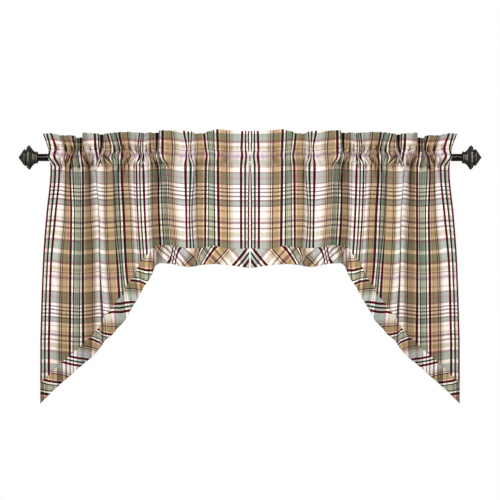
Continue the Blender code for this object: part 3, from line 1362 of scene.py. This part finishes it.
@dataclass(frozen=True)
class Stitching:
    """Straight machine stitches: a thread that dips into the cloth between them."""

    pitch: float = 4.2
    radius: float = 0.36
    lift: float = 0.65
    sink: float = 0.1
    bends: tuple[float, ...] = (0.0, 0.18, 0.82)

    def places(self, start: float, end: float) -> tuple[Array, Array]:
        """Lay stitches from one place along a seam to another.

        Args:
            start: Place of the first stitch.
            end: Place before which the last one begins.

        Returns:
            Places of the thread's bends, and how far each stands out of the cloth.
        """
        starts = np.arange(start, end, self.pitch)
        places = (starts[:, None] + self.pitch * np.array(self.bends)).ravel()
        return places, np.tile((-self.sink, self.lift, self.lift), len(starts))

    def sew(self, name: str, seams: Sequence[Array], side: Side) -> bpy.types.Object:
        """Run a thread along each seam.

        Args:
            name: Name of the object and of its mesh.
            seams: For each seam, the points of its thread.
            side: Half of the valance that the seams are for.

        Returns:
            The threads, joined in one mesh.
        """
        curve = bpy.data.curves.new(name, "CURVE")
        curve.dimensions = "3D"
        curve.bevel_depth = self.radius * METRE
        curve.bevel_resolution = 1
        curve.use_fill_caps = True
        for points in seams:
            spline = curve.splines.new("POLY")
            spline.points.add(len(points) - 1)
            placed = points * METRE * (side.value, 1, 1)
            spline.points.foreach_set("co", np.insert(placed, 3, 1.0, axis=1).ravel())
        route = bpy.data.objects.new(name, curve)
        mesh = bpy.data.meshes.new_from_object(route)
        bpy.data.objects.remove(route)
        bpy.data.curves.remove(curve)
        mesh.name = name
        mesh.shade_smooth()
        return place_object(name, mesh)


@dataclass(frozen=True)
class SwagPanel:
    """One length of plaid cotton, turned to the back and stitched for the rod.

    The mesh has fine columns up to fine_width, where the cloth gathers most, and
    coarse ones from there.  A doubled hem ends over hem_step of cloth.  The turned
    edge at the back is turn_depth deep and turn_share times as thick as the cloth.
    top_angles are the degrees of the rows round the top fold, from the back.  Below the
    pocket the rows grow wider, and the last even one lies last_row above the hem.
    """

    drape: Drape
    fine_columns: int = 326
    coarse_columns: int = 70
    fine_width: float = 600.0
    cloth_thickness: float = 0.8
    hem_thickness: float = 1.9
    hem_width: float = 12.0
    hem_step: float = 1.5
    turn_depth: float = 6.0
    turn_share: float = 1.4
    frill: Ripple = Ripple(1.2, 24.0, 1.7)
    back_rows: int = 11
    ruffle_back_rows: int = 9
    top_angles: tuple[float, ...] = (144.0, 108.0, 72.0, 36.0)
    ruffle_rows: int = 14
    pocket_rows: int = 22
    hang_rows: int = 62
    hang_growth: float = 1.35
    last_row: float = 6.0
    hem_rows: tuple[EdgeRow, ...] = (EdgeRow(3.0, 0.1), EdgeRow(1.2, 0.4), EdgeRow(0.0, 0.8))
    flat_length: float = 968.0
    flat_area: float = 0.60
    stitching: Stitching = Stitching()
    stitch_margin: float = 2.0
    stitch_clearance: float = 6.0

    def across(self) -> Array:
        """Lay out the mesh's columns, closest where the cloth gathers.

        Returns:
            Their places across the flat cloth.
        """
        width, hem = self.drape.flat_width, self.hem_width
        fine = np.linspace(hem + self.hem_step, self.fine_width, self.fine_columns)
        coarse = np.linspace(self.fine_width, width - hem - self.hem_step, self.coarse_columns)
        edge = np.array([0.0, hem / 2, hem])
        return np.concatenate([edge, fine, coarse[1:], width - edge[::-1]])

    def thickness(self, cloth: Array) -> Array:
        """Thickness of the cloth, which is doubled in the side hems."""
        in_hem = np.minimum(cloth, self.drape.flat_width - cloth) <= self.hem_width
        return np.where(in_hem, self.hem_thickness, self.cloth_thickness)

    def ruffle_heights(self, cloth: Array, share: float) -> Array:
        """Heights in the ruffle, at a share of its height.

        Args:
            cloth: Places across the flat cloth.
            share: 0 at the header seam and 1 where the top fold starts.

        Returns:
            A height for each place.
        """
        drape = self.drape
        top = drape.fold("top", cloth) + self.frill.at(cloth) - drape.layer_pitch / 2
        return drape.header_seam + share * (top - drape.header_seam)

    def sheet(self) -> ClothSheet:
        """Lay out the panel from its hem behind the rod, over the top and down.

        Returns:
            The panel's sheet.
        """
        drape = self.drape
        cloth = self.across()
        warp = cloth - WARP_START
        thick = self.thickness(cloth)
        pitch = drape.layer_pitch
        top = self.ruffle_heights(cloth, 1.0)
        top_weft = drape.weft(cloth, top)
        sheet = ClothSheet()

        def behind(points: Array, row_thickness: Array) -> None:
            """Add a row of the layer that is turned to the back."""
            weft = 2 * top_weft - pitch - drape.weft(cloth, points[:, 2])
            sheet.add_row(points, warp, weft, row_thickness)

        def in_front(points: Array) -> None:
            """Add a row of the front layer."""
            sheet.add_row(points, warp, drape.weft(cloth, points[:, 2]), thick)

        for height in (drape.back_hem, drape.back_hem + self.turn_depth):
            behind(drape.front(cloth, height, pitch), thick * self.turn_share)
        behind(drape.front(cloth, drape.pocket_seam, pitch), thick)
        for height in np.linspace(drape.pocket_seam, drape.header_seam, self.back_rows)[2:-2]:
            behind(drape.pocket_back(cloth, height), thick)
        for share in np.linspace(0.0, 1.0, self.ruffle_back_rows):
            behind(drape.front(cloth, self.ruffle_heights(cloth, share), pitch), thick)
        radius = pitch / 2
        for angle in np.radians(self.top_angles):
            points = drape.front(cloth, top, radius * (1 - math.cos(angle)))
            points[:, 2] += radius * math.sin(angle)
            sheet.add_row(points, warp, top_weft - pitch * angle / math.pi, thick)
        for share in np.linspace(1.0, 0.0, self.ruffle_rows):
            in_front(drape.front(cloth, self.ruffle_heights(cloth, share)))
        for height in np.linspace(drape.header_seam, drape.pocket_seam, self.pocket_rows)[1:]:
            in_front(drape.front(cloth, height))
        lower = drape.edge("panel_z", cloth)
        drop = lower + self.last_row - drape.pocket_seam
        for share in np.linspace(0.0, 1.0, self.hang_rows)[1:] ** self.hang_growth:
            in_front(drape.front(cloth, drape.pocket_seam + share * drop))
        for rise, tuck in self.hem_rows:
            in_front(drape.front(cloth, lower + rise, tuck))
        return sheet

    def stitches(self, name: str, side: Side) -> bpy.types.Object:
        """Sew the header seam, the pocket seam and the two side hems.

        Args:
            name: Name of the threads' object.
            side: Half of the valance.

        Returns:
            The threads.
        """
        drape = self.drape
        margin = self.hem_width + self.stitch_margin
        places, out = self.stitching.places(margin, drape.flat_width - margin)
        seams = [
            drape.front(places, height, -out)
            for height in (drape.header_seam, drape.pocket_seam)
        ]
        inset = self.hem_width - self.stitch_margin
        hem_lift = (self.hem_thickness - self.cloth_thickness) / 2
        for place in (inset, drape.flat_width - inset):
            lowest = float(drape.edge("panel_z", place)) + self.stitch_clearance
            heights, out = self.stitching.places(
                lowest, drape.pocket_seam - self.stitch_clearance
            )
            seams.append(drape.front(np.full(heights.shape, place), heights, -out - hem_lift))
        return self.stitching.sew(name, seams, side)

    def build(self, side: Side, cotton: bpy.types.Material, thread: bpy.types.Material) -> None:
        """Build the panel and its stitches for one half of the valance.

        Args:
            side: Half of the valance.
            cotton: The panel's material.
            thread: The stitches' material.
        """
        name = f"{side.label}_swag_panel"
        panel = self.sheet().build(f"{name}_cloth", side)
        dress(panel, [cotton], name)
        stitches = self.stitches(f"{name}_stitches", side)
        dress(stitches, [thread])


class BandRipple(NamedTuple):
    """A ripple along a band, tallest at a share of its width and within a spread of it."""

    ripple: Ripple
    share: float
    spread: float


@dataclass(frozen=True)
class BiasBand:
    """A strip cut on the bias, sewn to the panel's lower edge and folded double.

    Its seam allowance lies behind the panel.  Its face starts with the rows of the
    crown, which roll over the seam, and ends in a fold that starts fold_height above
    its lower edge.
    """

    drape: Drape
    piece: str
    start: float
    end: float
    seam_marks: tuple[BiasMark, ...]
    hem_marks: tuple[BiasMark, ...]
    flat_size: tuple[float, float]
    columns: int = 180
    rows: int = 14
    thickness: float = 1.4
    allowance_thickness: float = 0.8
    allowance: tuple[EdgeRow, ...] = (
        EdgeRow(11.0, 2.1), EdgeRow(6.0, 2.0), EdgeRow(1.5, 1.9), EdgeRow(0.2, 1.6),
    )
    crown: tuple[EdgeRow, ...] = (EdgeRow(-0.6, 1.0), EdgeRow(-1.6, 0.4), EdgeRow(-3.4, 0.05))
    fold_height: float = 1.0
    fold_tuck: float = 0.35
    ripples: tuple[BandRipple, ...] = (
        BandRipple(Ripple(0.7, 27.0, 0.6), 0.15, 0.35),
        BandRipple(Ripple(0.7, 43.0, 2.0), 0.9, 0.3),
    )

    def pattern(self, cloth: Array, share: Array) -> list[Array]:
        """Where points of the band lie on the woven cloth.

        Args:
            cloth: Places across the panel's flat cloth.
            share: 0 at the seam and 1 at the band's lower edge, for each place.

        Returns:
            Their places across and down the woven cloth.
        """
        places = []
        for name in ("warp", "weft"):
            upper = between(self.seam_marks, "cloth", name, cloth)
            lower = between(self.hem_marks, "cloth", name, cloth)
            places.append(upper + share * (lower - upper))
        return places

    def sheet(self) -> ClothSheet:
        """Lay out the band from its seam allowance behind the panel to its lower edge.

        Returns:
            The band's sheet.
        """
        drape = self.drape
        cloth = np.linspace(self.start, self.end, self.columns)
        upper = drape.edge("panel_z", cloth)
        lower = drape.edge("band_z", cloth)
        sheet = ClothSheet()
        for rise, tuck in self.allowance:
            warp, weft = self.pattern(cloth, -rise / (upper - lower))
            points = drape.front(cloth, upper + rise, tuck)
            sheet.add_row(points, warp, weft, self.allowance_thickness)
        for rise, tuck in self.crown:
            self.add_front_row(sheet, cloth, upper + rise, tuck)
        first = upper + self.crown[-1].rise
        drop = lower + self.fold_height - first
        for share in np.linspace(0.0, 1.0, self.rows)[1:]:
            self.add_front_row(sheet, cloth, first + share * drop, 0.0)
        self.add_front_row(sheet, cloth, lower, self.fold_tuck)
        return sheet

    def add_front_row(self, sheet: ClothSheet, cloth: Array, height: Array, tuck: float) -> None:
        """Add a row of the band's face.

        Args:
            sheet: The sheet that gets the row.
            cloth: Places across the panel's flat cloth.
            height: Heights of the points.
            tuck: Distance that they are moved to the back.
        """
        upper = self.drape.edge("panel_z", cloth)
        lower = self.drape.edge("band_z", cloth)
        share = (upper - height) / (upper - lower)
        out = sum(
            wave.ripple.at(cloth) * bell(share - wave.share, wave.spread)
            for wave in self.ripples
        )
        warp, weft = self.pattern(cloth, share)
        sheet.add_row(self.drape.front(cloth, height, tuck - out), warp, weft, self.thickness)

    def build(self, side: Side, cotton: bpy.types.Material) -> None:
        """Build the band for one half of the valance.

        Args:
            side: Half of the valance.
            cotton: The band's material.
        """
        name = f"{side.label}_{self.piece}"
        band = self.sheet().build(f"{name}_cloth", side)
        dress(band, [cotton], name)


# ---------------------------------------------------------------------------
# Rod and finials
# ---------------------------------------------------------------------------

@dataclass(frozen=True)
class CurtainRod:
    """The steel tube that the panels hang from."""

    diameter: float = 25.0
    length: float = 1440.0
    segments: int = 72
    end_bevel: float = 1.2
    sharp_angle: float = 40.0

    def build(self, enamel: bpy.types.Material) -> None:
        """Build the rod along X.

        Args:
            enamel: The rod's material.
        """
        tube = bmesh.new()
        radius = self.diameter / 2 * METRE
        bmesh.ops.create_cone(
            tube, cap_ends=True, segments=self.segments, radius1=radius, radius2=radius,
            depth=self.length * METRE, matrix=Matrix.Rotation(math.radians(90), 4, "Y"),
        )
        sharp = math.radians(self.sharp_angle)
        rims = [edge for edge in tube.edges if edge.calc_face_angle(0.0) > sharp]
        bmesh.ops.bevel(
            tube, geom=rims, offset=self.end_bevel * METRE, segments=3, profile=0.5,
            affect="EDGES", material=-1,
        )
        mesh = finished_mesh("rod_tube", tube, self.sharp_angle)
        dress(place_object(mesh.name, mesh), [enamel], "rod")


class Turning(NamedTuple):
    """A ring of a turned profile: distance out from the rod's end, and flat radius."""

    out: float
    flat: float


@dataclass(frozen=True)
class FinialPiece:
    """One turned and faceted piece of a finial."""

    piece: str
    profile: tuple[Turning, ...]
    rod_length: float
    facets: int = 8
    edge_bevel: float = 0.9
    arris_angle: float = 14.0
    sharp_angle: float = 24.0
    merge_distance: float = 0.01

    def build(self, side: Side, finishes: Sequence[bpy.types.Material]) -> None:
        """Turn the profile about the rod's axis and soften its arrises.

        Args:
            side: End of the rod.
            finishes: Material of the flats, then of the rubbed arrises.
        """
        half = math.pi / self.facets
        turned = bmesh.new()
        chain = []
        for ring in self.profile:
            radius = ring.flat / math.cos(half) * METRE
            along = side.value * (self.rod_length / 2 + ring.out) * METRE
            spoke = (along, radius * math.sin(half), radius * math.cos(half))
            chain.append(turned.verts.new(spoke))
        edges = [turned.edges.new(pair) for pair in zip(chain, chain[1:])]
        bmesh.ops.spin(
            turned, geom=chain + edges, cent=(0, 0, 0), axis=(1, 0, 0), angle=2 * math.pi,
            steps=self.facets, use_merge=True,
        )
        bmesh.ops.remove_doubles(turned, verts=turned.verts, dist=self.merge_distance * METRE)
        bmesh.ops.recalc_face_normals(turned, faces=turned.faces)
        least = math.radians(self.arris_angle)
        arrises = [edge for edge in turned.edges if edge.calc_face_angle(0.0) > least]
        rubbed = bmesh.ops.bevel(
            turned, geom=arrises, offset=self.edge_bevel * METRE, segments=2, profile=0.5,
            affect="EDGES", material=-1, clamp_overlap=True,
        )
        for face in rubbed["faces"]:
            face.material_index = 1
        node = f"{side.label}_{self.piece}"
        mesh = finished_mesh(f"{node}_metal", turned, self.sharp_angle)
        dress(place_object(mesh.name, mesh), finishes, node)


# ---------------------------------------------------------------------------
# Studio
# ---------------------------------------------------------------------------

@dataclass(frozen=True)
class SoftLight:
    """A large square light that is aimed at a point.

    Its places and size are in metres, its power in watts and its spread in degrees.
    """

    name: str
    place: Place
    target: Place
    size: float
    power: float
    spread: float

    def build(self) -> None:
        """Make the light."""
        data = bpy.data.lights.new(self.name, "AREA")
        data.shape = "SQUARE"
        data.size = self.size
        data.energy = self.power
        data.spread = math.radians(self.spread)
        made = place_object(self.name, data)
        aim = Vector(self.target) - Vector(self.place)
        made.location = self.place
        made.rotation_euler = aim.to_track_quat("-Z", "Y").to_euler()


def light_pair(
    name: str, place: Place, target: Place, size: float, power: float, spread: float
) -> tuple[SoftLight, ...]:
    """Plan the same light on both sides of the valance.

    Args:
        name: What follows the side in the lights' names.
        place: Where the right-hand one stands.
        target: The point that it is aimed at.
        size: The length of their sides.
        power: The power of each.
        spread: The angle over which each one shines.

    Returns:
        The left-hand light and the right-hand one.
    """
    return tuple(
        SoftLight(
            f"{side.label}_{name}", (side.value * place[0], *place[1:]),
            (side.value * target[0], *target[1:]), size, power, spread,
        )
        for side in Side
    )


@dataclass(frozen=True)
class Studio:
    """Pale floor, soft light and the camera.  All its sizes are in metres."""

    floor_level: float = -1.25
    floor_width: float = 5.0
    floor_depth: float = 3.5
    floor_back: float = 0.5
    lens: float = 135.0
    sensor: float = 36.0
    view_width: float = 1.70
    view_height: float = -0.3145
    world_light: float = 0.05
    lights: tuple[SoftLight, ...] = (
        *light_pair("softbox", (4.0, -2.3, 0.3), (0.5, 0.0, -0.25), 0.8, 3.3, 36.0),
        *light_pair("key", (2.9, -4.2, 1.3), (0.5, 0.0, -0.25), 0.5, 5.2, 30.0),
        SoftLight("front_softbox", (0.0, -5.5, 0.9), (0.0, 0.0, -0.2), 1.0, 2.6, 60.0),
        SoftLight("top_softbox", (0.0, -2.5, 3.0), (0.0, 0.0, -0.2), 0.8, 4.6, 60.0),
        SoftLight("back_softbox", (0.0, 3.4, 2.6), (0.0, 0.0, -0.3), 0.8, 20.0, 80.0),
    )

    def build(self) -> None:
        """Set up the floor, the world, the lights and the camera."""
        self.lay_floor()
        self.light_world()
        for light in self.lights:
            light.build()
        self.place_camera()
        bpy.context.scene.view_settings.view_transform = "Standard"

    def lay_floor(self) -> None:
        """Lay the floor under the valance."""
        plane = bmesh.new()
        middle = Vector((0, self.floor_back - self.floor_depth / 2, self.floor_level))
        size = Matrix.Diagonal((self.floor_width / 2, self.floor_depth / 2, 1, 1))
        bmesh.ops.create_grid(
            plane, x_segments=2, y_segments=2, size=1.0, matrix=Matrix.Translation(middle) @ size
        )
        mesh = finished_mesh("floor", plane)
        mesh.materials.append(PalePaper().build())
        floor = place_object("floor", mesh)

    def light_world(self) -> None:
        """Show a white backdrop, which lights the valance more softly than it shows."""
        world = bpy.data.worlds.new("Studio")
        world.use_nodes = True
        bpy.context.scene.world = world
        tree = world.node_tree
        ray = add_node(tree, "ShaderNodeLightPath")
        strength = add_node(
            tree, "ShaderNodeMapRange", None,
            {"Value": ray.outputs["Is Camera Ray"], "To Min": self.world_light, "To Max": 1.0},
        )
        connect(tree, tree.nodes["Background"], {
            "Color": (1, 1, 1, 1), "Strength": strength.outputs["Result"],
        })

    def place_camera(self) -> None:
        """Look at the valance squarely from the room."""
        data = bpy.data.cameras.new("camera")
        data.lens = self.lens
        data.sensor_width = self.sensor
        camera = place_object("camera", data)
        distance = self.view_width * self.lens / self.sensor
        camera.location = (0, -distance, self.view_height)
        camera.rotation_euler = (math.radians(90), 0, 0)
        bpy.context.scene.camera = camera


# ---------------------------------------------------------------------------
# The valance
# ---------------------------------------------------------------------------

# Where the seams and the lower edges of the bands lie on the woven cloth that they are
# cut from, from the outer end to the inner one
LONG_SEAM = (
    BiasMark(0, 549, 318), BiasMark(42, 504, 276), BiasMark(90, 449, 224),
    BiasMark(142, 393, 172), BiasMark(199, 313.5, 118), BiasMark(224, 280, 92),
    BiasMark(296, 224.4, 47), BiasMark(358, 169, 5), BiasMark(426, 89, -44),
    BiasMark(460, 55.4, -58), BiasMark(476, 40, -66), BiasMark(540, 2, -110),
)
LONG_HEM = (
    BiasMark(5, 612, 314), BiasMark(30, 584, 289), BiasMark(79, 538, 237),
    BiasMark(106, 504, 209), BiasMark(156, 449, 155), BiasMark(199, 393, 115),
    BiasMark(228, 360, 88), BiasMark(289, 313.5, 50), BiasMark(328, 280, 21),
    BiasMark(386, 224.4, -13), BiasMark(436, 169, -52), BiasMark(462, 135, -70),
    BiasMark(507, 89, -100), BiasMark(520, 55.4, -108), BiasMark(540, 45, -118),
)
SHORT_SEAM = (
    BiasMark(520, 314, 188), BiasMark(562, 279.8, 209), BiasMark(615, 237.2, 233),
    BiasMark(630, 224.4, 240), BiasMark(650, 211.7, 249), BiasMark(718, 169, 277),
    BiasMark(818, 89.1, 342), BiasMark(860, 55.4, 371), BiasMark(938, 0, 427),
)
SHORT_HEM = (
    BiasMark(520, 287, 153), BiasMark(575, 237.2, 180), BiasMark(597, 224.4, 190),
    BiasMark(615, 211.7, 198), BiasMark(655, 169, 216), BiasMark(773, 89.1, 278),
    BiasMark(815, 55.4, 305), BiasMark(888, 0, 355), BiasMark(938, -35, 391),
)

# The finial's pieces, each turned from its inner face to its outer one
FINIAL_NECK = (
    Turning(0.3, 0), Turning(0.3, 14.5), Turning(2, 18.5), Turning(4, 21),
    Turning(5.5, 21), Turning(5.5, 0),
)
FINIAL_BODY = (
    Turning(5.8, 0), Turning(5.8, 18.5), Turning(11, 20.5), Turning(17.5, 25),
    Turning(23.5, 32), Turning(29.5, 41), Turning(32, 40), Turning(37.5, 34),
    Turning(39, 25.5), Turning(39, 0),
)
FINIAL_TIP = (
    Turning(39.3, 0), Turning(39.3, 25.5), Turning(45.5, 29), Turning(50, 24),
    Turning(60, 10), Turning(68, 0),
)


def main() -> None:
    """Build the valance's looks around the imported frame."""
    logging.basicConfig(level=logging.INFO, format="%(name)s: %(message)s")
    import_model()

    cotton = PlaidHomespun().build()
    bias_cotton = PlaidHomespun(name="Plaid cotton homespun cut on the bias").build()
    thread = SewingThread().build()
    enamel = BakedEnamelTube().build()
    pewter = AntiquePewter("Antique pewter plated zinc", "#5B5952", "#34322C", 0.42).build()
    rubbed = AntiquePewter("Rubbed pewter arris", "#8E8B82", "#5E5B54", 0.36).build()

    rod = CurtainRod()
    rod.build(enamel)
    drape = Drape()
    long_band = BiasBand(drape, "long_band", 0.0, 533.0, LONG_SEAM, LONG_HEM, (700.0, 76.0))
    short_band = BiasBand(drape, "short_band", 527.0, 928.0, SHORT_SEAM, SHORT_HEM, (400.0, 76.0))
    for side in Side:
        for piece, profile in (
            ("finial_neck", FINIAL_NECK), ("finial_body", FINIAL_BODY), ("finial_tip", FINIAL_TIP)
        ):
            FinialPiece(piece, profile, rod.length).build(side, [pewter, rubbed])
        SwagPanel(drape).build(side, cotton, thread)
        long_band.build(side, bias_cotton)
        short_band.build(side, bias_cotton)

    Studio().build()


if __name__ == "__main__":
    main()
